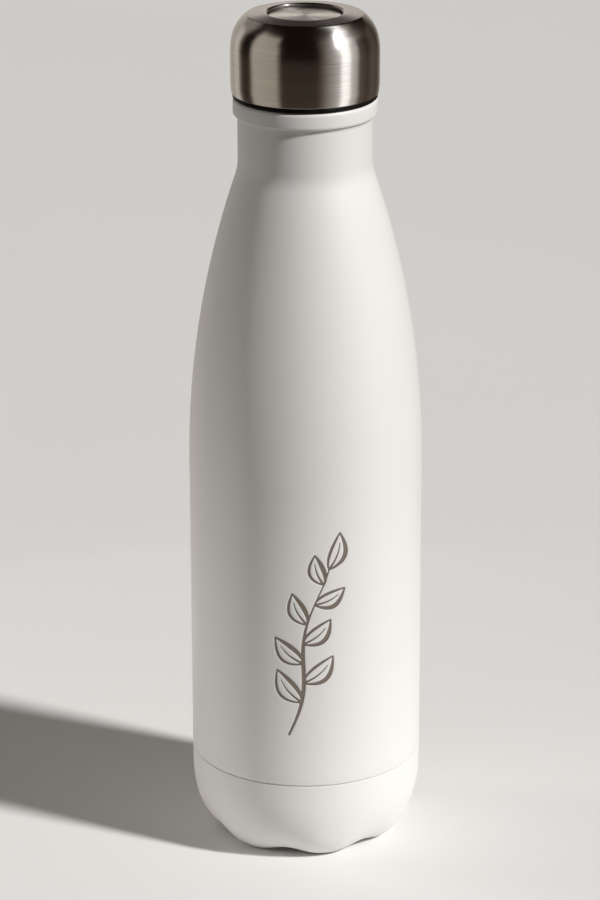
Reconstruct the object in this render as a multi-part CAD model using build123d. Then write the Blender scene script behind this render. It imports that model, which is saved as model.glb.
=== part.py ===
"""A double-walled vacuum bottle of about half a litre, with a screw cap.

Frame: millimetres, +Z up along the bottle's axis, origin on the floor at the middle of the seven feet.
-Y is the front. Seven valleys wave the base between its feet, and one of them points along +X.
Every wall of revolution is drawn as an outline in the XZ plane, as (radius, height), and turned about Z.
"""

from build123d import *

import os
from math import atan2, cos, degrees, hypot, pi, radians, sin, sqrt, tan

# Driving dimensions
BODY_RADIUS = 35.0
SHEET = 0.4  # thickness of every steel pressing
FIT_GAP = 0.05  # between pieces that are pressed or welded together
GLUE_GAP = 0.02  # between an adhesive and each face that it joins

# Outer shell: straight body, one long shoulder arc, a neck and a rolled bead under the mouth
SEAM_Z = 27.0
SEAM_GAP = 0.3
SHOULDER_Z = 120.0
SHOULDER_ARC = 275.0
NECK_RADIUS = 19.75
NECK_FILLET = 15.0
MOUTH_Z = 231.5
BEAD_RADIUS = 21.1
BEAD_BOTTOM_Z = 226.15
BEAD_LOWER_ROUND = 1.1
BEAD_UPPER_ROUND = 1.2
RIM_RADIUS = 17.35  # where the shell's turned-in rim meets the inner vessel

# Inner vessel
VACUUM_GAP = 2.6
VESSEL_NECK_RADIUS = 17.3
VESSEL_NECK_FILLET = 18.0
VESSEL_BOTTOM_Z = 12.0
VESSEL_FLOOR_Z = 9.5
VESSEL_FLOOR_ROUND = 3.0
VESSEL_FLOOR_LIP = 5.5  # height of the floor's pressing, up to its rim
FOIL = 0.15
FOIL_TOP_Z = 196.0

# Base cup: an elliptical corner down to the feet, then a rise to a flat panel in the middle
CUP_RADIUS = 34.95
CORNER_TOP_Z = 21.5
FOOT_RADIUS = 24.3
PANEL_RADIUS = 14.0
PANEL_Z = 4.0
LOBES = 7
VALLEY_DEPTH = 1.8
VALLEY_SHARPNESS = 1.4
FOOT_FLAT = 0.12  # how much of each foot is ground away, which leaves it a flat face
LIP_LAP = 4.0  # how far the lip reaches down inside the cup
LIP_TOP_Z = 32.0

# Screw thread between the neck and the cap's plug: two starts, right-handed
LEAD = 8.0
STARTS = 2
THREAD_TURNS = 1.5
THREAD_BOTTOM_Z = 214.5
RIDGE_BASE = 2.4
RIDGE_CREST = 1.2
RIDGE_ROOT = 0.15  # how far a ridge is sunk into its wall
MALE_CREST = 16.35
FEMALE_CREST = 15.6

# Cap: a lip seal, an insulated plug, and a steel shell whose corner is a chain of arcs that meet smoothly
SEAL_BOTTOM_Z = 231.55
SEAL_TOP_Z = 232.85
SEAL_RADIUS = 21.15
SEAL_CLEARANCE = 0.4  # round the plug
SEAL_ROUND = 0.3
FLANGE_Z = 232.9
FLANGE_THICKNESS = 2.1
PLUG_RADIUS = 15.2
PLUG_WALL = 2.0
PLUG_BOTTOM_Z = 209.0
PLUG_RIM_Z = 248.0
PLUG_RIM_RADIUS = 20.9
PLUG_RIM_WALL = 1.5
END_CAP_THICKNESS = 1.6
END_CAP_ROUND = 1.0
END_CAP_SPIGOT = 2.0
FOAM_GAP = 0.2
LID_LEDGE = 0.5  # how far the lid's plate stops inside the plug's rim
LID_SPIGOT = 1.8
LID_TOP_Z = 249.4
GLUE_RADIUS = 7.0
CAP_BOTTOM_Z = 233.0
CAP_RIM_RADIUS = 21.5
CAP_RADIUS = 21.75
CAP_DRAFT_Z = 236.0  # the cap's wall leans out up to here
CAP_WALL_TOP_Z = 245.0
CAP_CORNER = [(20.2, 12.6), (10.8, 39.8), (1.5, 31.3)]  # each arc's radius, and its turn in degrees
RECESS_RADIUS = 10.9
RECESS_ROUND = 0.7
RECESS_FLOOR_Z = 254.9  # the recess is 1.6 deep, so the bottle is 256.5 tall
DISC_GLUE = 0.15
TOP_DISC_RADIUS = 10.5
TOP_DISC_EDGE = 0.12

# Evacuation port in the middle of the base cup, the bead that seals it and the disc that hides it
PORT_RADIUS = 1.0
DIMPLE_RADIUS = 5.0
DIMPLE_DEPTH = 1.0
DIMPLE_TAPER = 1.5
SOLDER_RADIUS = 3.0
SOLDER_HEIGHT = 0.85
SOLDER_STEM = 0.4  # how far the solder stands inside the port
COVER_RADIUS = 12.8
COVER_THICKNESS = 0.55
COVER_EDGE = 0.2
COVER_GLUE = 0.16
COVER_GLUE_RADIUS = 12.2

# Getter: a pellet on a sprung strap under the inner vessel's floor
GETTER_RADIUS = 4.5
GETTER_TOP_GAP = 0.4
GETTER_THICKNESS = 2.25
STRAP = 0.3
STRAP_WIDTH = 5.0
STRAP_FOOT = 5.0
STRAP_SPAN = 10.3
STRAP_DROP = 3.0


def arc(centre, radius, start, end):
    """The arc about a centre from one point's direction to another's, the short way round."""
    first = degrees(atan2(start[1] - centre[1], start[0] - centre[0]))
    turn = degrees(atan2(end[1] - centre[1], end[0] - centre[0])) - first
    return CenterArc(centre, radius, first, (turn + 180) % 360 - 180)


def spin(*edges):
    """The solid that a closed outline in the XZ plane makes when it is turned about Z."""
    return revolve(Plane.XZ * make_face(Curve() + list(edges)), Axis.Z, 360)


def disc(radius, low, high):
    return Pos(0, 0, low) * Cylinder(radius, high - low, align=(Align.CENTER, Align.CENTER, Align.MIN))


def tube(outer, inner, low, high):
    return disc(outer, low, high) - disc(inner, low, high)


def shoulder_line(body, arc_radius, neck, fillet_radius, low, high):
    """A bottle's side from low to high, as edges and their two ends: body wall, shoulder, neck fillet, neck."""
    arc_centre = (body - arc_radius, SHOULDER_Z)
    across = neck + fillet_radius - arc_centre[0]
    up = sqrt((arc_radius + fillet_radius) ** 2 - across**2)
    fillet_centre = (neck + fillet_radius, SHOULDER_Z + up)
    share = arc_radius / (arc_radius + fillet_radius)
    meet = (arc_centre[0] + share * across, arc_centre[1] + share * up)
    edges = [
        Line((body, low), (body, SHOULDER_Z)),
        arc(arc_centre, arc_radius, (body, SHOULDER_Z), meet),
        arc(fillet_centre, fillet_radius, meet, (neck, fillet_centre[1])),
        Line((neck, fillet_centre[1]), (neck, high)),
    ]
    return edges, (body, low), (neck, high)


def shell_line(inset):
    """The outer shell's side, moved inwards by inset, from its lower edge over the bead to its rim."""
    cove = BEAD_RADIUS - NECK_RADIUS - BEAD_LOWER_ROUND
    cove_centre = (NECK_RADIUS + cove, BEAD_BOTTOM_Z - cove)
    lower_centre = (BEAD_RADIUS - BEAD_LOWER_ROUND, BEAD_BOTTOM_Z + BEAD_LOWER_ROUND)
    upper_centre = (BEAD_RADIUS - BEAD_UPPER_ROUND, MOUTH_Z - BEAD_UPPER_ROUND)
    side, start, neck_end = shoulder_line(
        BODY_RADIUS - inset,
        SHOULDER_ARC - inset,
        NECK_RADIUS - inset,
        NECK_FILLET + inset,
        SEAM_Z + SEAM_GAP / 2,
        cove_centre[1],
    )
    cove_end = (cove_centre[0], cove_centre[1] + cove + inset)
    bead_low = (lower_centre[0] + BEAD_LOWER_ROUND - inset, lower_centre[1])
    bead_high = (bead_low[0], upper_centre[1])
    top = (upper_centre[0], MOUTH_Z - inset)
    edges = side + [
        arc(cove_centre, cove + inset, neck_end, cove_end),
        arc(lower_centre, BEAD_LOWER_ROUND - inset, (lower_centre[0], lower_centre[1] - 1), bead_low),
        Line(bead_low, bead_high),
        arc(upper_centre, BEAD_UPPER_ROUND - inset, bead_high, top),
        Line(top, (RIM_RADIUS, MOUTH_Z - inset)),
    ]
    return edges, start, (RIM_RADIUS, MOUTH_Z - inset)


def outer_shell():
    outside, low_out, rim_out = shell_line(0)
    inside, low_in, rim_in = shell_line(SHEET)
    return spin(*outside, *inside, Line(low_out, low_in), Line(rim_out, rim_in))


def vessel_line(inset, low, high):
    """The inner vessel's outer face, moved inwards by inset."""
    to_face = SHEET + VACUUM_GAP + inset
    return shoulder_line(
        BODY_RADIUS - to_face,
        SHOULDER_ARC - to_face,
        VESSEL_NECK_RADIUS - inset,
        VESSEL_NECK_FILLET + inset,
        low,
        high,
    )


def thread_ridges(root, crest, bottom):
    """The helical ridges of a thread, from a root radius to a crest radius, one for each start."""
    helix = Helix(pitch=LEAD, height=LEAD * THREAD_TURNS, radius=(root + crest) / 2)
    outwards = 1 if crest > root else -1
    half = abs(crest - root) / 2
    section = Polyline(
        (-outwards * (half + RIDGE_ROOT), -RIDGE_BASE / 2),
        (-outwards * half, -RIDGE_BASE / 2),
        (outwards * half, -RIDGE_CREST / 2),
        (outwards * half, RIDGE_CREST / 2),
        (-outwards * half, RIDGE_BASE / 2),
        (-outwards * (half + RIDGE_ROOT), RIDGE_BASE / 2),
        close=True,
    )
    across = Plane(origin=helix @ 0, x_dir=(1, 0, 0), z_dir=helix % 0)
    ridge = Solid.sweep(across * make_face(section).face(), path=helix, is_frenet=True)
    return [Rot(0, 0, 360 * n / STARTS) * Pos(0, 0, bottom) * ridge for n in range(STARTS)]


def inner_vessel():
    outside, low_out, rim_out = vessel_line(0, VESSEL_BOTTOM_Z, MOUTH_Z)
    inside, low_in, rim_in = vessel_line(SHEET, VESSEL_BOTTOM_Z, MOUTH_Z)
    vessel = spin(*outside, *inside, Line(low_out, low_in), Line(rim_out, rim_in))
    half_pitch = LEAD / STARTS / 2
    for ridge in thread_ridges(VESSEL_NECK_RADIUS - SHEET, FEMALE_CREST, THREAD_BOTTOM_Z + half_pitch):
        vessel = vessel + ridge
    return vessel


def vessel_floor():
    """The pressed floor that closes the inner vessel, with its rim inside the vessel's wall."""
    radius = BODY_RADIUS - 2 * SHEET - VACUUM_GAP - FIT_GAP
    centre = (radius - VESSEL_FLOOR_ROUND, VESSEL_FLOOR_Z + VESSEL_FLOOR_ROUND)
    rim_z = VESSEL_FLOOR_Z + VESSEL_FLOOR_LIP
    edges = []
    for inset in (0, SHEET):
        round_radius = VESSEL_FLOOR_ROUND - inset
        bottom = (centre[0], centre[1] - round_radius)
        side = (centre[0] + round_radius, centre[1])
        edges += [
            Line((0, bottom[1]), bottom),
            arc(centre, round_radius, bottom, side),
            Line(side, (side[0], rim_z)),
        ]
    edges += [
        Line((0, VESSEL_FLOOR_Z), (0, VESSEL_FLOOR_Z + SHEET)),
        Line((radius, rim_z), (radius - SHEET, rim_z)),
    ]
    return spin(*edges)


def reflective_foil():
    """The foil wrapped round the inner vessel, which turns heat back across the vacuum."""
    edges = []
    ends = []
    for inset in (-FIT_GAP - FOIL, -FIT_GAP):
        face = BODY_RADIUS - SHEET - VACUUM_GAP - inset
        arc_radius = SHOULDER_ARC - SHEET - VACUUM_GAP - inset
        centre = (face - arc_radius, SHOULDER_Z)
        top = (centre[0] + sqrt(arc_radius**2 - (FOIL_TOP_Z - SHOULDER_Z) ** 2), FOIL_TOP_Z)
        start = (face, VESSEL_BOTTOM_Z + 1)
        edges += [Line(start, (face, SHOULDER_Z)), arc(centre, arc_radius, (face, SHOULDER_Z), top)]
        ends.append((start, top))
    (start_out, top_out), (start_in, top_in) = ends
    return spin(*edges, Line(start_out, start_in), Line(top_out, top_in))


def base_profile(run):
    """A point of the base under a foot, its outward direction and its share of the valleys' depth.

    run goes from 0 at the corner's top to 1 at the foot, and to 2 at the edge of the middle panel.
    """
    low = -FOOT_FLAT
    if run <= 1:
        turn = run * pi / 2
        across, down = CUP_RADIUS - FOOT_RADIUS, CORNER_TOP_Z - low
        point = (FOOT_RADIUS + across * cos(turn), CORNER_TOP_Z - down * sin(turn))
        outward = (cos(turn) / across, -sin(turn) / down)
        share = sin(turn) ** 2
    else:
        inward = run - 1
        across, up = FOOT_RADIUS - PANEL_RADIUS, PANEL_Z - low
        point = (FOOT_RADIUS - across * inward, low + up * (1 - cos(pi * inward)) / 2)
        outward = (-up * pi / 2 * sin(pi * inward), -across)
        share = cos(pi * inward / 2) ** 2
    length = hypot(*outward)
    return point, (outward[0] / length, outward[1] / length), share


def base_section(run, inset):
    """The closed curve that goes round the base at one run, waved by the valleys."""
    (radius, height), outward, share = base_profile(run)
    points = []
    for step in range(12 * LOBES):
        turn = 2 * pi * step / (12 * LOBES)
        valley = ((1 + cos(LOBES * turn)) / 2) ** VALLEY_SHARPNESS
        depth = inset + VALLEY_DEPTH * share * valley
        r = radius - depth * outward[0]
        points.append((r * cos(turn), r * sin(turn), height - depth * outward[1]))
    # evenly numbered points let the loft join every section without splitting it
    return Wire(Edge.make_spline(points, periodic=True, parameters=range(len(points) + 1)))


def base_body(inset, top):
    """Everything inside the base's surface moved inwards by inset, up to a height of top."""
    runs = [n / 9 for n in range(10)] + [1 + n / 6 for n in range(1, 7)]
    sections = [base_section(run, inset) for run in runs]
    sides = [Pos(0, 0, z - CORNER_TOP_Z) * sections[0] for z in (top, (top + CORNER_TOP_Z) / 2)]
    return Solid.make_loft(sides + sections)


def base_cup():
    """The seven-footed outer floor, with a lip inside the shell and a dimple round the evacuation port."""
    top = SEAM_Z - SEAM_GAP / 2
    feet_cut = disc(BODY_RADIUS, -BODY_RADIUS, 0)
    cup = base_body(0, top) - feet_cut - base_body(SHEET, top + 2)
    lip_outer = BODY_RADIUS - SHEET - FIT_GAP
    lip = tube(lip_outer, lip_outer - SHEET, top - LIP_LAP, LIP_TOP_Z)
    weld = tube(CUP_RADIUS - SHEET / 2, lip_outer - SHEET, top - LIP_LAP, top)
    # both cones reach FIT_GAP past the panel's faces, so that they cut and join cleanly
    height = DIMPLE_DEPTH + 2 * FIT_GAP
    middle = PANEL_Z + DIMPLE_DEPTH / 2
    dimple = Pos(0, 0, middle - FIT_GAP) * Cone(DIMPLE_RADIUS, DIMPLE_RADIUS - DIMPLE_TAPER, height)
    boss_top = DIMPLE_RADIUS - DIMPLE_TAPER + SHEET
    boss = Pos(0, 0, middle + SHEET - FIT_GAP) * Cone(DIMPLE_RADIUS + SHEET, boss_top, height)
    port = disc(PORT_RADIUS, PANEL_Z, PANEL_Z + 2 * DIMPLE_DEPTH)
    return cup + (lip + weld) + boss - dimple - port


def port_seal():
    """The bead of glass solder that closes the port."""
    top = PANEL_Z + DIMPLE_DEPTH
    bead = Pos(0, 0, top) * Sphere(SOLDER_RADIUS) & disc(SOLDER_RADIUS, top - SOLDER_HEIGHT, top - FIT_GAP)
    return bead + disc(PORT_RADIUS - FIT_GAP, top - SOLDER_HEIGHT / 2, top + SHEET + SOLDER_STEM)


def port_cover():
    top = PANEL_Z - COVER_GLUE - 2 * GLUE_GAP
    plate = disc(COVER_RADIUS, top - COVER_THICKNESS, top)
    return chamfer(plate.edges().group_by(Axis.Z)[0], COVER_EDGE)


def cover_adhesive():
    top = PANEL_Z - GLUE_GAP
    return tube(COVER_GLUE_RADIUS, DIMPLE_RADIUS + 1, top - COVER_GLUE, top)


def getter_strap():
    """A spring-steel clip welded under the vessel's floor, which holds the getter pellet."""
    top = VESSEL_FLOOR_Z - FIT_GAP
    hung = (Align.CENTER, Align.CENTER, Align.MAX)
    strap = Pos(0, 0, top - STRAP_DROP + STRAP) * Box(STRAP_SPAN, STRAP_WIDTH, STRAP, align=hung)
    foot = Box(STRAP_FOOT, STRAP_WIDTH, STRAP, align=hung)
    leg = Box(STRAP, STRAP_WIDTH, STRAP_DROP, align=hung)
    for side in (-1, 1):
        strap = strap + Pos(side * (STRAP_SPAN + STRAP_FOOT) / 2, 0, top) * foot
        strap = strap + Pos(side * (STRAP_SPAN + STRAP) / 2, 0, top) * leg
    return strap


def getter_pellet():
    top = VESSEL_FLOOR_Z - GETTER_TOP_GAP
    return disc(GETTER_RADIUS, top - GETTER_THICKNESS, top)


def lip_seal():
    """The silicone washer between the cap and the mouth's rim."""
    washer = tube(SEAL_RADIUS, PLUG_RADIUS + SEAL_CLEARANCE, SEAL_BOTTOM_Z, SEAL_TOP_Z)
    return fillet(washer.edges().filter_by(GeomType.CIRCLE).sort_by(SortBy.RADIUS)[-2:], SEAL_ROUND)


def plug_body():
    """The moulded plug: a threaded tube, a flange over the seal and a rim that grips the cap's shell."""
    flange_top = FLANGE_Z + FLANGE_THICKNESS
    plug = disc(PLUG_RADIUS, PLUG_BOTTOM_Z, flange_top)
    plug = plug + disc(PLUG_RIM_RADIUS, FLANGE_Z, PLUG_RIM_Z)
    plug = plug - disc(PLUG_RADIUS - PLUG_WALL, PLUG_BOTTOM_Z, flange_top)
    plug = plug - disc(PLUG_RIM_RADIUS - PLUG_RIM_WALL, flange_top, PLUG_RIM_Z)
    for ridge in thread_ridges(PLUG_RADIUS, MALE_CREST, THREAD_BOTTOM_Z):
        plug = plug + ridge
    return plug


def plug_end_cap():
    """The disc that closes the plug's lower end, with a spigot up its bore."""
    low = PLUG_BOTTOM_Z - END_CAP_THICKNESS
    face = disc(PLUG_RADIUS, low, PLUG_BOTTOM_Z - FIT_GAP)
    face = fillet(face.edges().group_by(Axis.Z)[0], END_CAP_ROUND)
    return face + disc(PLUG_RADIUS - PLUG_WALL - FIT_GAP, low + END_CAP_ROUND, PLUG_BOTTOM_Z + END_CAP_SPIGOT)


def foam_core():
    """The moulded foam that fills the plug from its end cap to its lid, wider above the flange."""
    flange_top = FLANGE_Z + FLANGE_THICKNESS
    low = PLUG_BOTTOM_Z + END_CAP_SPIGOT + FOAM_GAP
    stem = disc(PLUG_RADIUS - PLUG_WALL - FOAM_GAP, low, flange_top + 2 * FOAM_GAP)
    head_radius = PLUG_RIM_RADIUS - PLUG_RIM_WALL - FOAM_GAP
    return stem + disc(head_radius, flange_top + FOAM_GAP, PLUG_RIM_Z - LID_SPIGOT - FOAM_GAP)


def plug_lid():
    """The moulded plate over the foam, whose spigot sits in the plug's rim."""
    plate = disc(PLUG_RIM_RADIUS - LID_LEDGE, PLUG_RIM_Z + FIT_GAP, LID_TOP_Z)
    return plate + disc(PLUG_RIM_RADIUS - PLUG_RIM_WALL - FIT_GAP, PLUG_RIM_Z - LID_SPIGOT, LID_TOP_Z)


def shell_glue():
    """The puck of hot-melt glue that holds the steel shell to the plug's lid."""
    return disc(GLUE_RADIUS, LID_TOP_Z + FIT_GAP, RECESS_FLOOR_Z - SHEET - FIT_GAP)


def cap_line(inset):
    """The cap's outside, moved inwards by inset, from its rim over the corner to the middle of the recess."""
    rim = (CAP_RIM_RADIUS - inset, CAP_BOTTOM_Z)
    draft_top = (CAP_RADIUS - inset, CAP_DRAFT_Z)
    end = (CAP_RADIUS - inset, CAP_WALL_TOP_Z)
    edges = [Line(rim, draft_top), Line(draft_top, end)]
    lean = 0.0
    for radius, turn in CAP_CORNER:
        reach = radius - inset
        centre = (end[0] - reach * cos(radians(lean)), end[1] - reach * sin(radians(lean)))
        edges.append(CenterArc(centre, reach, lean, turn))
        lean += turn
        end = (centre[0] + reach * cos(radians(lean)), centre[1] + reach * sin(radians(lean)))

    # the top rises in a straight slope to the recess, whose edge turns over into an upright wall
    reach = RECESS_ROUND - inset
    slope_end = RECESS_RADIUS + RECESS_ROUND + reach * cos(radians(lean))
    lip = (slope_end, end[1] + (end[0] - slope_end) / tan(radians(lean)))
    lip_centre = (RECESS_RADIUS + RECESS_ROUND, lip[1] - reach * sin(radians(lean)))
    wall_top = (RECESS_RADIUS + inset, lip_centre[1])
    wall_foot = (wall_top[0], RECESS_FLOOR_Z - inset)
    middle = (0, wall_foot[1])
    edges += [
        Line(end, lip),
        CenterArc(lip_centre, reach, lean, 180 - lean),
        Line(wall_top, wall_foot),
        Line(wall_foot, middle),
    ]
    return edges, rim, middle


def cap_shell():
    outside, rim_out, middle_out = cap_line(0)
    inside, rim_in, middle_in = cap_line(SHEET)
    return spin(*outside, *inside, Line(rim_out, rim_in), Line(middle_out, middle_in))


def disc_adhesive():
    low = RECESS_FLOOR_Z + GLUE_GAP
    return disc(TOP_DISC_RADIUS - SHEET, low, low + DISC_GLUE)


def top_disc():
    low = RECESS_FLOOR_Z + DISC_GLUE + 2 * GLUE_GAP
    plate = disc(TOP_DISC_RADIUS, low, low + SHEET)
    return chamfer(plate.edges().group_by(Axis.Z)[-1], TOP_DISC_EDGE)


PARTS = [
    outer_shell,
    inner_vessel,
    vessel_floor,
    reflective_foil,
    base_cup,
    port_seal,
    port_cover,
    cover_adhesive,
    getter_strap,
    getter_pellet,
    lip_seal,
    plug_body,
    plug_end_cap,
    foam_core,
    plug_lid,
    shell_glue,
    cap_shell,
    disc_adhesive,
    top_disc,
]

os.makedirs("parts", exist_ok=True)
for make in PARTS:
    export_step(Part() + make(), f"parts/{make.__name__}.step")
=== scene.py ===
"""Looks for a vacuum bottle: a powder-coated body, a brushed steel screw cap and an engraved sprig."""

from math import atan2, ceil, cos, hypot, pi, radians, sin, sqrt, tan

import bmesh
import bpy
import numpy as np
from mathutils import Euler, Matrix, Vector


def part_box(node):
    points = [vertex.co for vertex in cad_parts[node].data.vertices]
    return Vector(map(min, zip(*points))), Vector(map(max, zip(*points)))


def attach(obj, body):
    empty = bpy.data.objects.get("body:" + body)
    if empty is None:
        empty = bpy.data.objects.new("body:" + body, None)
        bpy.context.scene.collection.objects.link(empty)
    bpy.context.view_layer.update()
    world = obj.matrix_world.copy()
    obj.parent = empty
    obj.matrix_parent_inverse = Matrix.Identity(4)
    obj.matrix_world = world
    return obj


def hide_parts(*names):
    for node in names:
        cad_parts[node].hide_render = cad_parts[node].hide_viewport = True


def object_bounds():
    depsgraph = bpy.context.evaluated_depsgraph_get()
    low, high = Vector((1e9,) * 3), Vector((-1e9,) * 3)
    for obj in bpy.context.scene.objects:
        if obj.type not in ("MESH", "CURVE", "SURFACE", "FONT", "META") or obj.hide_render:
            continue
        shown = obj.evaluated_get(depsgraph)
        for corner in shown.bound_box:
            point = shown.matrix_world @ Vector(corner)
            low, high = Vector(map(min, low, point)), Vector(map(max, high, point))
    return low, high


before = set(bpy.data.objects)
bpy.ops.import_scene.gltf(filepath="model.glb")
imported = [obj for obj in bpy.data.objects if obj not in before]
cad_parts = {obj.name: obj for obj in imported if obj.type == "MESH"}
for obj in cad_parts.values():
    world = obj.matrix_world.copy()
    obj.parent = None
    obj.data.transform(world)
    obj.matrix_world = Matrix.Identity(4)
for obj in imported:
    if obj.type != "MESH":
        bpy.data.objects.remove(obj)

cad_low, cad_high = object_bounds()

# Sizes, in metres, as in the CAD model
SHEET = 0.0004
SHOULDER_Z = 0.120
SHOULDER_ARC = 0.275
NECK_RADIUS = 0.01975
NECK_FILLET = 0.015
BEAD_RADIUS = 0.0211
BEAD_BOTTOM_Z = 0.22615
BEAD_LOWER_ROUND = 0.0011
BEAD_UPPER_ROUND = 0.0012
RIM_RADIUS = 0.01735
CORNER_TOP_Z = 0.0215
FOOT_RADIUS = 0.0243
FOOT_FLAT = 0.00012
PANEL_RADIUS = 0.014
PANEL_Z = 0.004
LOBES = 7
VALLEY_DEPTH = 0.0018
VALLEY_SHARPNESS = 1.4
EDGE_ROUND = 0.00015  # on the two edges that meet at the seam
CAP_RIM_RADIUS = 0.0215
CAP_DRAFT_Z = 0.236
CAP_WALL_TOP_Z = 0.245
CAP_CORNER = [(0.0202, 12.6), (0.0108, 39.8), (0.0015, 31.3)]  # each arc's radius, and its turn in degrees
RECESS_RADIUS = 0.0109
RECESS_ROUND = 0.0007
RECESS_FLOOR_Z = 0.2549

# Places read from the frame
SHELL_LOW, SHELL_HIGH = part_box("outer_shell")
BODY_RADIUS = SHELL_HIGH.x
CUP_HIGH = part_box("base_cup")[1]
CUP_RADIUS = 0.03495
CUP_TOP_Z = SHELL_LOW.z - 0.0003
CAP_LOW, CAP_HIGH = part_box("cap_shell")

# The engraving, on the front of the straight body
ENGRAVING_LOW_Z = 0.0425
ENGRAVING_HIGH_Z = 0.1100
ENGRAVING_HALF_WIDTH = 0.0135
ENGRAVING_DEPTH = 0.00015
ENGRAVING_EDGE = 0.00008
ENGRAVING_GRID = 0.00022
ENGRAVING_FAR = 0.001  # the distance given to points that no stroke is near
ENGRAVING_SHADED_RIM = 0.00018  # how far inside a stroke the painted shade along its edge reaches


def arc_points(centre, start, end, steps):
    """Points along an arc from start to end, without start, the short way round a centre."""
    radius = hypot(start[0] - centre[0], start[1] - centre[1])
    first = atan2(start[1] - centre[1], start[0] - centre[0])
    turn = (atan2(end[1] - centre[1], end[0] - centre[0]) - first + pi) % (2 * pi) - pi
    angles = [first + turn * n / steps for n in range(1, steps + 1)]
    return [(centre[0] + radius * cos(a), centre[1] + radius * sin(a)) for a in angles]


def line_points(start, end, steps):
    """Points along a straight line from start to end, without start."""
    return [tuple(s + (e - s) * n / steps for s, e in zip(start, end)) for n in range(1, steps + 1)]


def rounded(corners, radii, steps=6):
    """The points of a polyline whose corners are rounded. A radius of 0 leaves a corner sharp."""
    points = [corners[0]]
    for before, corner, after, radius in zip(corners, corners[1:], corners[2:], radii):
        if not radius:
            points.append(corner)
            continue
        a, b, c = (Vector(p) for p in (before, corner, after))
        back, ahead = (a - b).normalized(), (c - b).normalized()
        half = back.angle(ahead) / 2
        reach = radius / np.tan(half)
        centre = b + (back + ahead).normalized() * radius / sin(half)
        start, end = b + back * reach, b + ahead * reach
        points.append(tuple(start))
        points += arc_points(tuple(centre), tuple(start), tuple(end), steps)
    points.append(corners[-1])
    return points


def surface(name, rows, closed_rows=True, along=None, engraved=None):
    """A mesh from rows of points that go round Z, with points that meet joined.

    With closed_rows the last row is joined to the first as well.
    """
    rows = np.asarray(rows, float)
    count, around = rows.shape[:2]
    number = np.arange(count * around).reshape(count, around)
    ahead = np.roll(number, -1, axis=1)
    lower, upper = (number, np.roll(number, -1, axis=0)) if closed_rows else (number[:-1], number[1:])
    lower_ahead = ahead if closed_rows else ahead[:-1]
    upper_ahead = np.roll(ahead, -1, axis=0) if closed_rows else ahead[1:]
    faces = np.stack([lower, lower_ahead, upper_ahead, upper], axis=-1).reshape(-1, 4)
    mesh = bpy.data.meshes.new(name)
    mesh.from_pydata(rows.reshape(-1, 3).tolist(), [], faces.tolist())
    for label, values in (("along", along), ("engraved", engraved)):
        if values is not None:
            layer = mesh.attributes.new(label, "FLOAT", "POINT")
            layer.data.foreach_set("value", np.asarray(values, np.float32).ravel())
    shape = bmesh.new()
    shape.from_mesh(mesh)
    bmesh.ops.remove_doubles(shape, verts=shape.verts, dist=1e-7)
    bmesh.ops.recalc_face_normals(shape, faces=shape.faces)
    shape.to_mesh(mesh)
    shape.free()
    mesh.polygons.foreach_set("use_smooth", [True] * len(mesh.polygons))
    mesh.set_sharp_from_angle(angle=radians(38))
    piece = bpy.data.objects.new(name, mesh)
    bpy.context.scene.collection.objects.link(piece)
    return piece


def lathe(name, outline, turns=240):
    """A closed outline of (radius, height) points turned about Z, which keeps each point's way along it."""
    outline = np.asarray(outline, float)
    angles = np.arange(turns) * 2 * pi / turns
    r, z = outline[:, 0:1], outline[:, 1:2]
    rows = np.stack([r * np.sin(angles), -r * np.cos(angles), z + 0 * angles], axis=-1)
    steps = np.hypot(*np.diff(outline, axis=0).T)
    way = np.concatenate([[0], np.cumsum(steps)])
    return surface(name, rows, along=np.repeat(way, turns))


def stand_for(piece, node, body, material):
    """Puts a piece in a CAD node's place, on its body, with a material."""
    piece.data.materials.append(material)
    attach(piece, body)
    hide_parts(node)


# Materials


def add(tree, kind, inputs=None, **settings):
    """A new node with its settings, and its inputs linked to sockets or set to values."""
    node = tree.nodes.new(kind)
    for key, value in settings.items():
        setattr(node, key, value)
    for socket, value in (inputs or {}).items():
        if isinstance(value, bpy.types.NodeSocket):
            tree.links.new(value, node.inputs[socket])
        else:
            node.inputs[socket].default_value = value
    return node


def start_material(name, **values):
    """A new material with a Principled shader, and its uniform values set on the shader's own sockets."""
    material = bpy.data.materials.new(name)
    material.use_nodes = True
    shader = material.node_tree.nodes["Principled BSDF"]
    for label, value in values.items():
        shader.inputs[label.replace("_", " ")].default_value = value
    return material, material.node_tree, shader


def noise(tree, coords, scale, detail=2.0, roughness=0.5):
    """A noise texture's value."""
    inputs = {"Vector": coords, "Scale": scale, "Detail": detail, "Roughness": roughness}
    return add(tree, "ShaderNodeTexNoise", inputs).outputs["Fac"]


def ramp(tree, factor, stops):
    """A colour ramp from a list of (position, colour) stops."""
    node = add(tree, "ShaderNodeValToRGB", {"Fac": factor})
    elements = node.color_ramp.elements
    while len(elements) < len(stops):
        elements.new(1.0)
    for element, (place, colour) in zip(elements, sorted(stops, key=lambda stop: stop[0])):
        element.position = place
        element.color = (*colour, 1)
    return node.outputs["Color"]


def scaled(tree, factor, low, high, start=0.0, end=1.0):
    """A number taken from the range start to end onto the range low to high."""
    inputs = {"Value": factor, "From Min": start, "From Max": end, "To Min": low, "To Max": high}
    return add(tree, "ShaderNodeMapRange", inputs).outputs["Result"]


def bumps(tree, layers):
    """Chained bump nodes from (height, distance, strength) layers."""
    normal = None
    for height, distance, strength in layers:
        inputs = {"Height": height, "Distance": distance, "Strength": strength}
        if normal is not None:
            inputs["Normal"] = normal
        normal = add(tree, "ShaderNodeBump", inputs).outputs["Normal"]
    return normal


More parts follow.
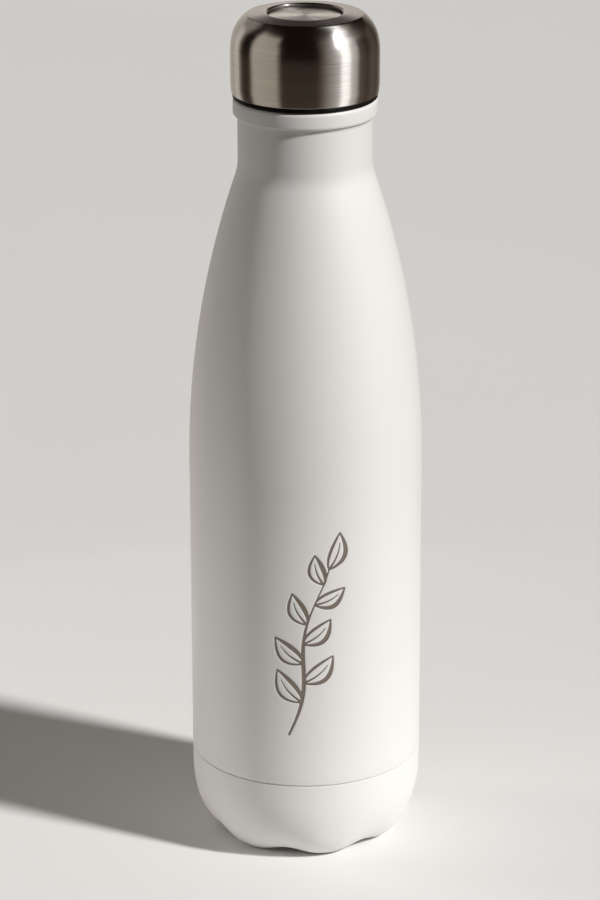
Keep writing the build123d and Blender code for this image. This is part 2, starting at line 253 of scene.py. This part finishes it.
def mixed(tree, factor, first, second):
    """A mix of two colours or two numbers."""
    is_colour = isinstance(first, tuple) or getattr(first, "type", "") == "RGBA"
    node = tree.nodes.new("ShaderNodeMix")
    node.data_type = "RGBA" if is_colour else "FLOAT"
    sockets = [s for s in node.inputs if s.enabled]
    for socket, value in zip(sockets, (factor, first, second)):
        if isinstance(value, bpy.types.NodeSocket):
            tree.links.new(value, socket)
        else:
            socket.default_value = (*value, 1) if isinstance(value, tuple) else value
    return next(s for s in node.outputs if s.enabled)


def object_coords(tree):
    """Places in the piece's own coordinates."""
    return add(tree, "ShaderNodeTexCoord").outputs["Object"]


def powder_coat(name, engraved=False):
    """Warm white powder coat with a fine orange peel. Where engraved, it is burnt through to dull steel, with
    painted shade along each stroke's edge.
    """
    material, tree, shader = start_material(name, Specular_IOR_Level=0.45)
    coords = object_coords(tree)
    cloud = noise(tree, coords, 22.0, 3.0)
    peel = noise(tree, coords, 1500.0, 2.0, 0.45)
    grain = noise(tree, coords, 5200.0, 2.0, 0.6)
    colour = ramp(tree, cloud, [(0.3, (0.80, 0.788, 0.765)), (0.7, (0.825, 0.814, 0.793))])
    rough = scaled(tree, peel, 0.40, 0.52)
    layers = [(peel, 0.00002, 0.35), (grain, 0.000006, 0.35)]
    if engraved:
        depth = add(tree, "ShaderNodeAttribute", attribute_name="engraved").outputs["Fac"]
        edge = ENGRAVING_EDGE / 2
        floor = scaled(tree, depth, 1.0, 0.0, -edge, edge)
        hatch = noise(tree, coords, 9000.0, 2.0)
        steel = ramp(tree, hatch, [(0.3, (0.19, 0.155, 0.125)), (0.75, (0.35, 0.30, 0.255))])
        # painted shade: the steel darkens towards each stroke's edge, standing in for the groove's shade
        rim = scaled(tree, depth, 0.0, 1.0, -ENGRAVING_SHADED_RIM, 0.0)
        steel = mixed(tree, rim, steel, (0.10, 0.08, 0.065))
        colour = mixed(tree, floor, colour, steel)
        rough = mixed(tree, floor, rough, scaled(tree, hatch, 0.38, 0.55))
        metallic = mixed(tree, floor, 0.0, 0.55)
        tree.links.new(metallic, shader.inputs["Metallic"])
        layers.append((hatch, 0.00001, 0.3))
    tree.links.new(colour, shader.inputs["Base Color"])
    tree.links.new(rough, shader.inputs["Roughness"])
    tree.links.new(bumps(tree, layers), shader.inputs["Normal"])
    return material


def brushed_steel(name, colour, rough, line_scale=5200.0):
    """Steel brushed round the axis, with fine lines that run round and follow the mesh's own outline."""
    material, tree, shader = start_material(name, Metallic=1.0, Anisotropic=0.85, Anisotropic_Rotation=0.25)
    coords = object_coords(tree)
    parts = add(tree, "ShaderNodeSeparateXYZ", {"Vector": coords}).outputs
    way = add(tree, "ShaderNodeAttribute", attribute_name="along").outputs["Fac"]

    def lines(across, round_scale, detail):
        x, y = (
            add(tree, "ShaderNodeMath", {0: parts[axis], 1: round_scale}, operation="MULTIPLY").outputs[0]
            for axis in ("X", "Y")
        )
        up = add(tree, "ShaderNodeMath", {0: way, 1: across}, operation="MULTIPLY").outputs[0]
        point = add(tree, "ShaderNodeCombineXYZ", {"X": x, "Y": y, "Z": up}).outputs["Vector"]
        return noise(tree, point, 1.0, detail, 0.6)

    fine = lines(line_scale, 60.0, 3.0)
    coarse = lines(line_scale / 6, 25.0, 2.0)
    cloud = noise(tree, coords, 60.0, 3.0)
    dark, light = (tuple(c * k for c in colour) for k in (0.86, 1.08))
    tree.links.new(ramp(tree, fine, [(0.3, dark), (0.7, light)]), shader.inputs["Base Color"])
    streaks = scaled(tree, coarse, rough * 0.85, rough * 1.15, 0.3, 0.7)
    total = add(tree, "ShaderNodeMath", {0: streaks, 1: scaled(tree, cloud, -0.02, 0.02)}, operation="ADD")
    tree.links.new(total.outputs[0], shader.inputs["Roughness"])
    layers = [(coarse, 0.00001, 0.15), (fine, 0.000004, 0.35)]
    tree.links.new(bumps(tree, layers), shader.inputs["Normal"])
    tangent = add(tree, "ShaderNodeTangent", direction_type="RADIAL", axis="Z")
    tree.links.new(tangent.outputs["Tangent"], shader.inputs["Tangent"])
    return material


def moulded(name, dark, light, rough, scale=2600.0, **values):
    """A moulded or cast surface: faint mottling, uneven gloss and a fine skin."""
    material, tree, shader = start_material(name, **values)
    coords = object_coords(tree)
    skin = noise(tree, coords, scale, 3.0, 0.6)
    cloud = noise(tree, coords, scale / 40, 3.0)
    tree.links.new(ramp(tree, cloud, [(0.3, dark), (0.7, light)]), shader.inputs["Base Color"])
    tree.links.new(scaled(tree, skin, rough - 0.06, rough + 0.06), shader.inputs["Roughness"])
    tree.links.new(bumps(tree, [(skin, 0.00001, 0.3)]), shader.inputs["Normal"])
    return material


# Shapes


def shell_outside():
    """The outer shell's side in three stretches: under, along and over the engraving."""
    start = (BODY_RADIUS - EDGE_ROUND, SHELL_LOW.z)
    corner_centre = (BODY_RADIUS - EDGE_ROUND, SHELL_LOW.z + EDGE_ROUND)
    side = (BODY_RADIUS, SHELL_LOW.z + EDGE_ROUND)
    below = [start] + arc_points(corner_centre, start, side, 4)
    below += line_points(side, (BODY_RADIUS, ENGRAVING_LOW_Z), 4)
    steps = ceil((ENGRAVING_HIGH_Z - ENGRAVING_LOW_Z) / ENGRAVING_GRID)
    middle = line_points((BODY_RADIUS, ENGRAVING_LOW_Z), (BODY_RADIUS, ENGRAVING_HIGH_Z), steps)
    above = line_points((BODY_RADIUS, ENGRAVING_HIGH_Z), (BODY_RADIUS, SHOULDER_Z), 3)

    arc_centre = (BODY_RADIUS - SHOULDER_ARC, SHOULDER_Z)
    across = NECK_RADIUS + NECK_FILLET - arc_centre[0]
    up = sqrt((SHOULDER_ARC + NECK_FILLET) ** 2 - across**2)
    fillet_centre = (NECK_RADIUS + NECK_FILLET, SHOULDER_Z + up)
    share = SHOULDER_ARC / (SHOULDER_ARC + NECK_FILLET)
    meet = (arc_centre[0] + share * across, arc_centre[1] + share * up)
    above += arc_points(arc_centre, above[-1], meet, 60)
    above += arc_points(fillet_centre, above[-1], (NECK_RADIUS, fillet_centre[1]), 20)

    cove = BEAD_RADIUS - NECK_RADIUS - BEAD_LOWER_ROUND
    cove_centre = (NECK_RADIUS + cove, BEAD_BOTTOM_Z - cove)
    above += line_points(above[-1], (NECK_RADIUS, cove_centre[1]), 8)
    above += arc_points(cove_centre, above[-1], (cove_centre[0], BEAD_BOTTOM_Z), 6)
    lower_centre = (BEAD_RADIUS - BEAD_LOWER_ROUND, BEAD_BOTTOM_Z + BEAD_LOWER_ROUND)
    above += arc_points(lower_centre, above[-1], (BEAD_RADIUS, lower_centre[1]), 10)
    upper_centre = (BEAD_RADIUS - BEAD_UPPER_ROUND, SHELL_HIGH.z - BEAD_UPPER_ROUND)
    above += line_points(above[-1], (BEAD_RADIUS, upper_centre[1]), 2)
    above += arc_points(upper_centre, above[-1], (upper_centre[0], SHELL_HIGH.z), 10)
    above += line_points(above[-1], (RIM_RADIUS, SHELL_HIGH.z), 2)
    return below, middle, above


def sprig():
    """The engraved sprig's strokes, each an array of (across, height, half the stroke's width)."""
    strokes = []

    def stem(t):
        return Vector((-0.0052 + 0.0104 * t + 0.0017 * sin(2.4 * pi * t), 0.0440 + 0.0530 * t))

    ts = np.linspace(0, 1, 600)
    path = np.array([stem(t) for t in ts])
    swell = 0.00034 + 0.00042 * np.sin(pi * np.clip(ts * 1.25, 0, 1)) ** 1.5
    strokes.append(np.column_stack([path, swell * (1 - 0.45 * ts)]))

    def leaf(base, angle, length, width):
        ahead = Vector((sin(angle), cos(angle)))
        side = Vector((ahead.y, -ahead.x))
        s = np.linspace(0, 1, 220)
        bend = 0.10 * length * np.sin(pi * s) * np.sign(sin(angle))
        for hand in (-1, 1):
            belly = width * np.sin(pi * s**0.85) ** 0.9
            points = [base + ahead * length * a + side * b for a, b in zip(s, hand * belly + bend)]
            heavy = 0.00022 + (0.00048 if hand > 0 else 0.00022) * np.sin(pi * s)
            strokes.append(np.column_stack([np.array(points), heavy]))
        ribs = s[s < 0.74]
        points = [base + ahead * length * a + side * b for a, b in zip(ribs, bend)]
        strokes.append(np.column_stack([np.array(points), 0.00034 - 0.00022 * ribs / 0.74]))

    leaves = 7
    for n in range(leaves):
        t = 0.20 + 0.71 * n / (leaves - 1)
        hand = 1 if n % 2 else -1
        slope = stem(t + 0.01) - stem(t)
        lean = atan2(slope.x, slope.y)
        leaf(stem(t), lean + hand * radians(50 - 14 * t), 0.0134 - 0.0040 * t, 0.0028 - 0.0007 * t)
    tip = stem(1.0) - stem(0.98)
    leaf(stem(1.0), atan2(tip.x, tip.y) + 0.001, 0.0118, 0.0023)
    return strokes


def distance_to(strokes, across, height):
    """How far each point of a grid lies outside the nearest stroke. It is negative inside one."""
    dots = np.concatenate(strokes)
    nearest = np.full(across.shape, ENGRAVING_FAR)
    window = 0.0015
    for row in range(across.shape[0]):
        near = np.abs(dots[:, 1] - height[row, 0]) < window
        if near.any():
            u, v, half = dots[near].T
            gaps = np.hypot(across[row][:, None] - u, height[row][:, None] - v) - half
            nearest[row] = np.minimum(nearest[row], gaps.min(axis=1))
    return nearest


def body_shell():
    """The coated shell with the sprig sunk in its front, where its columns are finer than elsewhere."""
    below, middle, above = shell_outside()
    outline = np.array(below + middle + above)
    inside_top = (RIM_RADIUS, SHELL_HIGH.z - SHEET)
    rows_in = [inside_top, (BEAD_RADIUS - BEAD_UPPER_ROUND, inside_top[1])]
    rows_in += [(BEAD_RADIUS - SHEET, SHELL_HIGH.z - BEAD_UPPER_ROUND)]
    rows_in += [(BEAD_RADIUS - SHEET, BEAD_BOTTOM_Z + BEAD_LOWER_ROUND)]
    side = [(r - SHEET, z) for r, z in above if SHOULDER_Z <= z < BEAD_BOTTOM_Z - 0.0005]
    rows_in += side[::-1][::4]
    chamfer = 0.0001
    rows_in += [(BODY_RADIUS - SHEET, SHOULDER_Z), (BODY_RADIUS - SHEET, SHELL_LOW.z + chamfer)]
    rows_in += [(BODY_RADIUS - SHEET + chamfer, SHELL_LOW.z)]

    half_angle = ENGRAVING_HALF_WIDTH / BODY_RADIUS
    fine = ceil(2 * ENGRAVING_HALF_WIDTH / ENGRAVING_GRID)
    coarse = ceil((2 * pi - 2 * half_angle) / radians(2.0))
    front = np.linspace(-half_angle, half_angle, fine, endpoint=False)
    rest = np.linspace(half_angle, 2 * pi - half_angle, coarse, endpoint=False)
    angles = np.concatenate([front, rest])

    everything = np.concatenate([outline, np.array(rows_in)])
    radius = np.repeat(everything[:, :1], len(angles), axis=1)
    height = np.repeat(everything[:, 1:], len(angles), axis=1)
    depth = np.full(radius.shape, ENGRAVING_FAR)
    rows = slice(len(below), len(below) + len(middle))
    columns = slice(0, fine)
    across = BODY_RADIUS * np.broadcast_to(angles[columns], radius[rows, columns].shape)
    depth[rows, columns] = distance_to(sprig(), across, height[rows, columns])
    sunk = np.clip(0.5 - depth / ENGRAVING_EDGE, 0, 1)
    radius = radius - ENGRAVING_DEPTH * sunk * sunk * (3 - 2 * sunk)
    points = np.stack([radius * np.sin(angles), -radius * np.cos(angles), height], axis=-1)
    return surface("body_shell", points, engraved=depth)


def base_point(run, inset, turn):
    """A point of the waved base. Run is 0 at the corner's top, 1 at the foot and 2 at the panel's edge."""
    low = -FOOT_FLAT
    if run <= 1:
        across, down = CUP_RADIUS - FOOT_RADIUS, CORNER_TOP_Z - low
        r, z = FOOT_RADIUS + across * cos(run * pi / 2), CORNER_TOP_Z - down * sin(run * pi / 2)
        normal = Vector((cos(run * pi / 2) / across, -sin(run * pi / 2) / down)).normalized()
        share = sin(run * pi / 2) ** 2
    else:
        inward = run - 1
        across, up = FOOT_RADIUS - PANEL_RADIUS, PANEL_Z - low
        r, z = FOOT_RADIUS - across * inward, low + up * (1 - cos(pi * inward)) / 2
        normal = Vector((-up * pi / 2 * sin(pi * inward), -across)).normalized()
        share = cos(pi * inward / 2) ** 2
    valley = ((1 + np.cos(LOBES * turn)) / 2) ** VALLEY_SHARPNESS
    depth = inset + VALLEY_DEPTH * share * valley
    return r - depth * normal.x, z - depth * normal.y


def waved_base():
    """The base cup, with its lip, its panel and the dimple round the port."""
    turn = np.linspace(0, 2 * pi, 360, endpoint=False)

    def ring(r, z):
        r, z = np.broadcast_to(r, turn.shape), np.broadcast_to(z, turn.shape)
        return np.stack([r * np.cos(turn), r * np.sin(turn), z], axis=-1)

    def wall(inset, edge):
        corner_steps, foot_steps = 36, 24
        runs = [n / corner_steps for n in range(corner_steps + 1)]
        runs += [1 + n / foot_steps for n in range(1, foot_steps + 1)]
        rows = [ring(r, z) for r, z in edge]
        for run in runs:
            r, z = base_point(run, inset, turn)
            rows.append(ring(r, np.maximum(z, 0) if not inset else z))
        return rows

    dimple_z = PANEL_Z + 0.001
    centre_radius = 0.0010
    panel = [(0.0125, PANEL_Z), (0.0055, PANEL_Z), (0.0050, PANEL_Z + 0.0001), (0.0036, dimple_z)]
    corner = CUP_RADIUS - EDGE_ROUND
    top_start = (corner, CUP_TOP_Z)
    round_z = CUP_TOP_Z - EDGE_ROUND
    edge = [top_start] + arc_points((corner, round_z), top_start, (CUP_RADIUS, round_z), 4)
    edge += line_points(edge[-1], (CUP_RADIUS, CORNER_TOP_Z + 0.0005), 6)
    outside = wall(0.0, edge) + [ring(r, z) for r, z in panel + [(centre_radius, dimple_z)]]
    lip_gap = 0.00005
    lip_radius = BODY_RADIUS - SHEET - lip_gap
    lip = [
        (lip_radius - SHEET, CORNER_TOP_Z + 0.0003),
        (lip_radius - SHEET, CUP_HIGH.z),
        (lip_radius, CUP_HIGH.z),
        (lip_radius, CUP_TOP_Z),
    ]
    inside = wall(SHEET, [])[::-1]
    inner_panel = [ring(r, z + SHEET) for r, z in [(centre_radius, dimple_z)] + panel[::-1]]
    return surface("waved_base", outside + inner_panel + inside + [ring(r, z) for r, z in lip])


def cap_corner(inset):
    """The cap's corner and top moved inwards by inset, from the wall's top to the recess, as points."""
    points = [(CAP_HIGH.x - inset, CAP_WALL_TOP_Z)]
    lean = 0.0
    for radius, turn in CAP_CORNER:
        reach = radius - inset
        centre = (points[-1][0] - reach * cos(lean), points[-1][1] - reach * sin(lean))
        lean += radians(turn)
        end = (centre[0] + reach * cos(lean), centre[1] + reach * sin(lean))
        points += arc_points(centre, points[-1], end, ceil(turn / 1.5))
    reach = RECESS_ROUND - inset
    slope_end = RECESS_RADIUS + RECESS_ROUND + reach * cos(lean)
    lip_z = points[-1][1] + (points[-1][0] - slope_end) / tan(lean)
    lip_centre = (RECESS_RADIUS + RECESS_ROUND, lip_z - reach * sin(lean))
    points += line_points(points[-1], (slope_end, lip_z), 6)
    top = (lip_centre[0], lip_centre[1] + reach)
    points += arc_points(lip_centre, points[-1], top, 2)
    return points + arc_points(lip_centre, top, (RECESS_RADIUS + inset, lip_centre[1]), 8)


def cap_outline():
    """The domed cap's closed outline: rolled rim, wall, corner, top and recess, then back inside."""
    edge = SHEET / 4
    rim = [
        (CAP_RIM_RADIUS - SHEET, CAP_LOW.z),
        (CAP_RIM_RADIUS, CAP_LOW.z),
        (CAP_HIGH.x, CAP_DRAFT_Z),
        (CAP_HIGH.x, CAP_WALL_TOP_Z),
    ]
    outside = rounded(rim, [edge, 0]) + cap_corner(0)[1:]
    foot = (RECESS_RADIUS - edge, RECESS_FLOOR_Z + edge)
    outside.append((RECESS_RADIUS, foot[1]))
    outside += arc_points(foot, outside[-1], (foot[0], RECESS_FLOOR_Z), 4)
    outside += line_points(outside[-1], (0, RECESS_FLOOR_Z), 4)
    under = RECESS_FLOOR_Z - SHEET
    inside = [(0, under), (RECESS_RADIUS + SHEET, under)]
    return outside + inside + cap_corner(SHEET)[::-1] + [(CAP_HIGH.x - SHEET, CAP_DRAFT_Z)]


# Pieces

coat = powder_coat("powder_coat")
engraved_coat = powder_coat("engraved_powder_coat", engraved=True)
cap_steel = brushed_steel("brushed_cap_steel", (0.62, 0.60, 0.58), 0.175)
disc_steel = brushed_steel("brushed_disc_steel", (0.96, 0.95, 0.93), 0.24, 4000.0)
# painted shade: the recess wall and floor get steel far darker than the cap's, standing in for the recess's
# shade and hiding a glint there
recess_shade_steel = moulded("dark_recess_painted_shade", (0.09, 0.082, 0.075), (0.13, 0.12, 0.11), 0.5, 3500.0, Metallic=1.0)

stand_for(body_shell(), "outer_shell", "bottle", engraved_coat)
stand_for(waved_base(), "base_cup", "bottle", coat)
domed_cap = lathe("domed_cap", cap_outline())
stand_for(domed_cap, "cap_shell", "cap", cap_steel)
# faces inside the recess take the dark steel of painted shade
domed_cap.data.materials.append(recess_shade_steel)
for face in domed_cap.data.polygons:
    face.material_index = int(face.center.xy.length < RECESS_RADIUS + EDGE_ROUND)

disc_low, disc_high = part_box("top_disc")
disc_rim = [(disc_high.x, disc_low.z), (disc_high.x, disc_high.z)]
disc_outline = rounded([(0, disc_low.z), *disc_rim, (0, disc_high.z)], [0.00005, 0.00012])
stand_for(lathe("cap_top_disc", disc_outline), "top_disc", "cap", disc_steel)

black = moulded("black_plastic", (0.012, 0.012, 0.013), (0.018, 0.018, 0.019), 0.34)
silicone = moulded(
    "black_silicone", (0.004, 0.003, 0.003), (0.007, 0.006, 0.005), 0.42, Specular_IOR_Level=0.09
)
foam = moulded("foam", (0.72, 0.66, 0.50), (0.80, 0.75, 0.60), 0.85, 1200.0)
glue = moulded("glue", (0.62, 0.60, 0.52), (0.70, 0.68, 0.60), 0.5, 900.0)
solder = moulded("solder_glass", (0.10, 0.07, 0.05), (0.16, 0.12, 0.09), 0.15, 900.0)
getter = moulded("getter_metal", (0.05, 0.05, 0.055), (0.09, 0.09, 0.095), 0.7, 4000.0, Metallic=0.8)
spring = moulded("spring_steel", (0.32, 0.31, 0.30), (0.40, 0.39, 0.38), 0.32, 3000.0, Metallic=1.0)
foil = moulded("foil", (0.74, 0.74, 0.75), (0.85, 0.85, 0.86), 0.2, 400.0, Metallic=1.0)
vessel_steel = moulded("vessel_steel", (0.50, 0.49, 0.48), (0.58, 0.57, 0.56), 0.34, 3500.0, Metallic=1.0)

for node, material in {
    "inner_vessel": vessel_steel,
    "vessel_floor": vessel_steel,
    "reflective_foil": foil,
    "port_seal": solder,
    "port_cover": coat,
    "cover_adhesive": glue,
    "getter_strap": spring,
    "getter_pellet": getter,
    "lip_seal": silicone,
    "plug_body": black,
    "plug_end_cap": black,
    "plug_lid": black,
    "foam_core": foam,
    "shell_glue": glue,
    "disc_adhesive": glue,
}.items():
    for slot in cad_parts[node].material_slots:
        slot.material = material

# Floor and studio cards

FLOOR_REACH = 4.0
BOUNCE_REACH = 0.27  # the floor further out than this sends no light back onto the bottle


def floor():
    """The pale floor: a disc that sends light back up onto the bottle, and a far part that doesn't."""
    material, tree, shader = start_material("floor", Roughness=0.6, Specular_IOR_Level=0.25)
    tint = noise(tree, object_coords(tree), 3.0, 3.0)
    colour = ramp(tree, tint, [(0.3, (0.845, 0.838, 0.826)), (0.7, (0.865, 0.858, 0.846))])
    tree.links.new(colour, shader.inputs["Base Color"])
    angles = np.linspace(0, 2 * pi, 96, endpoint=False)
    for name, near, far in (("floor", 0.0, BOUNCE_REACH), ("far_floor", BOUNCE_REACH, FLOOR_REACH)):
        rows = [np.stack([r * np.cos(angles), r * np.sin(angles), 0 * angles], axis=-1) for r in (near, far)]
        piece = surface(name, rows, closed_rows=False)
        piece.data.materials.append(material)
        piece.visible_diffuse = name == "floor"


def surround():
    """A tent of pale and dark cards round the bottle, which only reflections see."""
    radius, middle, turns = 0.24, 0.245, 180
    angles = np.linspace(0, 2 * pi, turns, endpoint=False)
    dome = [(radius * cos(a), middle + radius * sin(a)) for a in np.linspace(0, radians(89.9), 48)]
    profile = [(radius, 0.001)] + dome
    right, behind = np.sin(angles), -np.cos(angles)
    rows = [np.stack([r * right, r * behind, np.full(turns, z)], axis=-1) for r, z in profile]
    card = surface("surround", rows, closed_rows=False)
    material = bpy.data.materials.new("surround")
    material.use_nodes = True
    tree = material.node_tree
    tree.nodes.clear()
    parts = add(tree, "ShaderNodeSeparateXYZ", {"Vector": object_coords(tree)}).outputs
    back = add(tree, "ShaderNodeMath", {0: parts["Y"], 1: -1.0}, operation="MULTIPLY").outputs[0]
    turn = add(tree, "ShaderNodeMath", {0: parts["X"], 1: back}, operation="ARCTAN2").outputs[0]
    place = scaled(tree, turn, 0.0, 1.0, -pi, pi)

    pale, beige, window = (0.64, 0.59, 0.53), (0.52, 0.46, 0.40), (1.7, 1.68, 1.64)
    brown, dark, deep = (0.12, 0.095, 0.075), (0.040, 0.028, 0.020), (0.010, 0.006, 0.004)
    # Cards as (azimuth in degrees, colour), typed from a readout of the photographed cap
    low_cards = [
        (-180, pale), (-160, (0.50, 0.46, 0.41)), (-138, (0.46, 0.42, 0.37)), (-130, pale),
        (-121, pale), (-113, brown), (-106, deep), (-92, deep), (-83, beige), (-44, (0.42, 0.37, 0.31)),
        (-36, dark), (-31, deep), (17, deep), (25, (0.09, 0.07, 0.055)), (31, (0.20, 0.18, 0.16)),
        (46, (0.47, 0.44, 0.41)), (52, (0.62, 0.59, 0.56)), (58, window), (68, window),
        (73, (0.80, 0.77, 0.73)), (83, (0.52, 0.49, 0.46)), (89, (0.10, 0.08, 0.065)),
        (98, (0.07, 0.055, 0.045)), (106, dark), (122, (0.10, 0.08, 0.065)),
        (140, (0.06, 0.045, 0.035)), (152, (0.20, 0.18, 0.15)), (166, (0.50, 0.45, 0.40)), (180, pale),
    ]
    middle_cards = [
        (-180, deep), (-166, deep), (-154, (0.26, 0.24, 0.21)), (-118, (0.30, 0.27, 0.24)),
        (-106, deep), (-92, deep), (-84, beige), (-48, (0.42, 0.37, 0.31)), (-40, deep), (18, deep),
        (26, (0.09, 0.07, 0.055)), (36, (0.20, 0.18, 0.16)), (46, (0.38, 0.35, 0.32)),
        (56, (0.62, 0.59, 0.56)), (63, window), (73, window), (80, (0.85, 0.82, 0.78)),
        (90, (0.34, 0.31, 0.28)), (98, (0.20, 0.17, 0.15)), (108, (0.10, 0.08, 0.065)), (122, dark),
        (150, deep), (180, deep),
    ]
    high_cards = [
        (-180, deep), (-130, deep), (-96, dark), (-70, deep), (10, deep), (30, (0.03, 0.022, 0.018)),
        (44, (0.08, 0.065, 0.055)), (56, (0.15, 0.13, 0.115)), (68, (0.30, 0.28, 0.26)),
        (77, (0.50, 0.47, 0.44)), (83, window), (91, window), (99, (0.60, 0.57, 0.54)),
        (110, (0.36, 0.33, 0.30)), (122, brown), (140, dark), (180, deep),
    ]
    top_cards = [
        (-180, deep), (20, deep), (60, dark), (88, (0.12, 0.105, 0.09)), (98, (0.60, 0.57, 0.54)),
        (103, window), (113, window), (118, (0.50, 0.47, 0.44)), (128, brown), (144, dark), (180, deep),
    ]
    low, mid, high, top = (
        ramp(tree, place, [((a + 180) / 360, c) for a, c in cards])
        for cards in (low_cards, middle_cards, high_cards, top_cards)
    )

    def rise(start, end):
        """How far a height is on its way between two elevations, seen from the dome's middle."""
        heights = [middle + radius * sin(radians(e)) for e in (start, end)]
        return scaled(tree, parts["Z"], 0.0, 1.0, *heights)

    warm = mixed(tree, 0.11, low, (0.34, 0.25, 0.18))
    colour = mixed(tree, rise(-14, 3), warm, low)
    # each list gives way to the next between two elevations in degrees
    for start, end, upper in ((19, 23, mid), (40, 50, high), (55, 60, top), (66, 80, deep)):
        colour = mixed(tree, rise(start, end), colour, upper)
    glow = add(tree, "ShaderNodeEmission", {"Color": colour, "Strength": 1.0}).outputs["Emission"]
    tree.links.new(glow, add(tree, "ShaderNodeOutputMaterial").inputs["Surface"])
    card.data.materials.append(material)
    for ray in ("camera", "diffuse", "transmission", "volume_scatter", "shadow"):
        setattr(card, f"visible_{ray}", False)


floor()
surround()

# Light and camera


def towards(azimuth, elevation):
    """The direction to an azimuth and elevation in degrees. Azimuth 0 is the camera's side, 90 is +X."""
    a, e = radians(azimuth), radians(elevation)
    return Vector((sin(a) * cos(e), -cos(a) * cos(e), sin(e)))


def light(name, kind, azimuth, elevation, distance, energy, colour, aim=cad_high.z / 2, **settings):
    """A light that looks at the bottle's axis at the height aim."""
    data = bpy.data.lights.new(name, kind)
    data.energy = energy
    data.color = colour
    for key, value in settings.items():
        setattr(data, key, value)
    away = towards(azimuth, elevation)
    lamp = bpy.data.objects.new(name, data)
    lamp.location = Vector((0, 0, aim)) + away * distance
    lamp.rotation_euler = (-away).to_track_quat("-Z", "Y").to_euler()
    lamp.visible_glossy = kind == "SUN"  # reflections show only the sun and the tent's cards
    bpy.context.scene.collection.objects.link(lamp)


light(
    "key", "SUN", azimuth=64, elevation=38, distance=2.0, energy=3.45, colour=(1.0, 0.992, 0.975),
    angle=radians(5.5),
)
light(
    "side_fill", "SPOT", azimuth=-104, elevation=9, distance=1.1, energy=24.0, colour=(1.0, 0.955, 0.91),
    aim=0.060, shadow_soft_size=0.16, spot_size=radians(21), spot_blend=1.0,
)
light(
    "front_fill", "AREA", azimuth=-20, elevation=55, distance=1.6, energy=1.2, colour=(0.97, 0.98, 1.0),
    size=1.2,
)

world = bpy.data.worlds.new("studio")
bpy.context.scene.world = world
world.use_nodes = True
background = world.node_tree.nodes["Background"].inputs
background["Color"].default_value = (0.90, 0.83, 0.77, 1)
background["Strength"].default_value = 0.09

CAMERA_PLACE = (-0.0017, -1.0, 0.486)
CAMERA_PITCH = 20.0  # degrees below the horizon
CAMERA_ROLL = -0.12  # degrees
CAMERA_LENS = 141.4  # mm on a 36 mm sensor
camera = bpy.data.objects.new("camera", bpy.data.cameras.new("camera"))
camera.location = CAMERA_PLACE
tilt = Euler((radians(90 - CAMERA_PITCH), 0, 0)).to_quaternion()
camera.rotation_euler = (tilt @ Euler((0, 0, radians(CAMERA_ROLL))).to_quaternion()).to_euler()
camera.data.lens = CAMERA_LENS
camera.data.sensor_width = 36.0
camera.data.clip_start = 0.01
bpy.context.scene.collection.objects.link(camera)
bpy.context.scene.camera = camera
bpy.context.scene.view_settings.view_transform = "Standard"
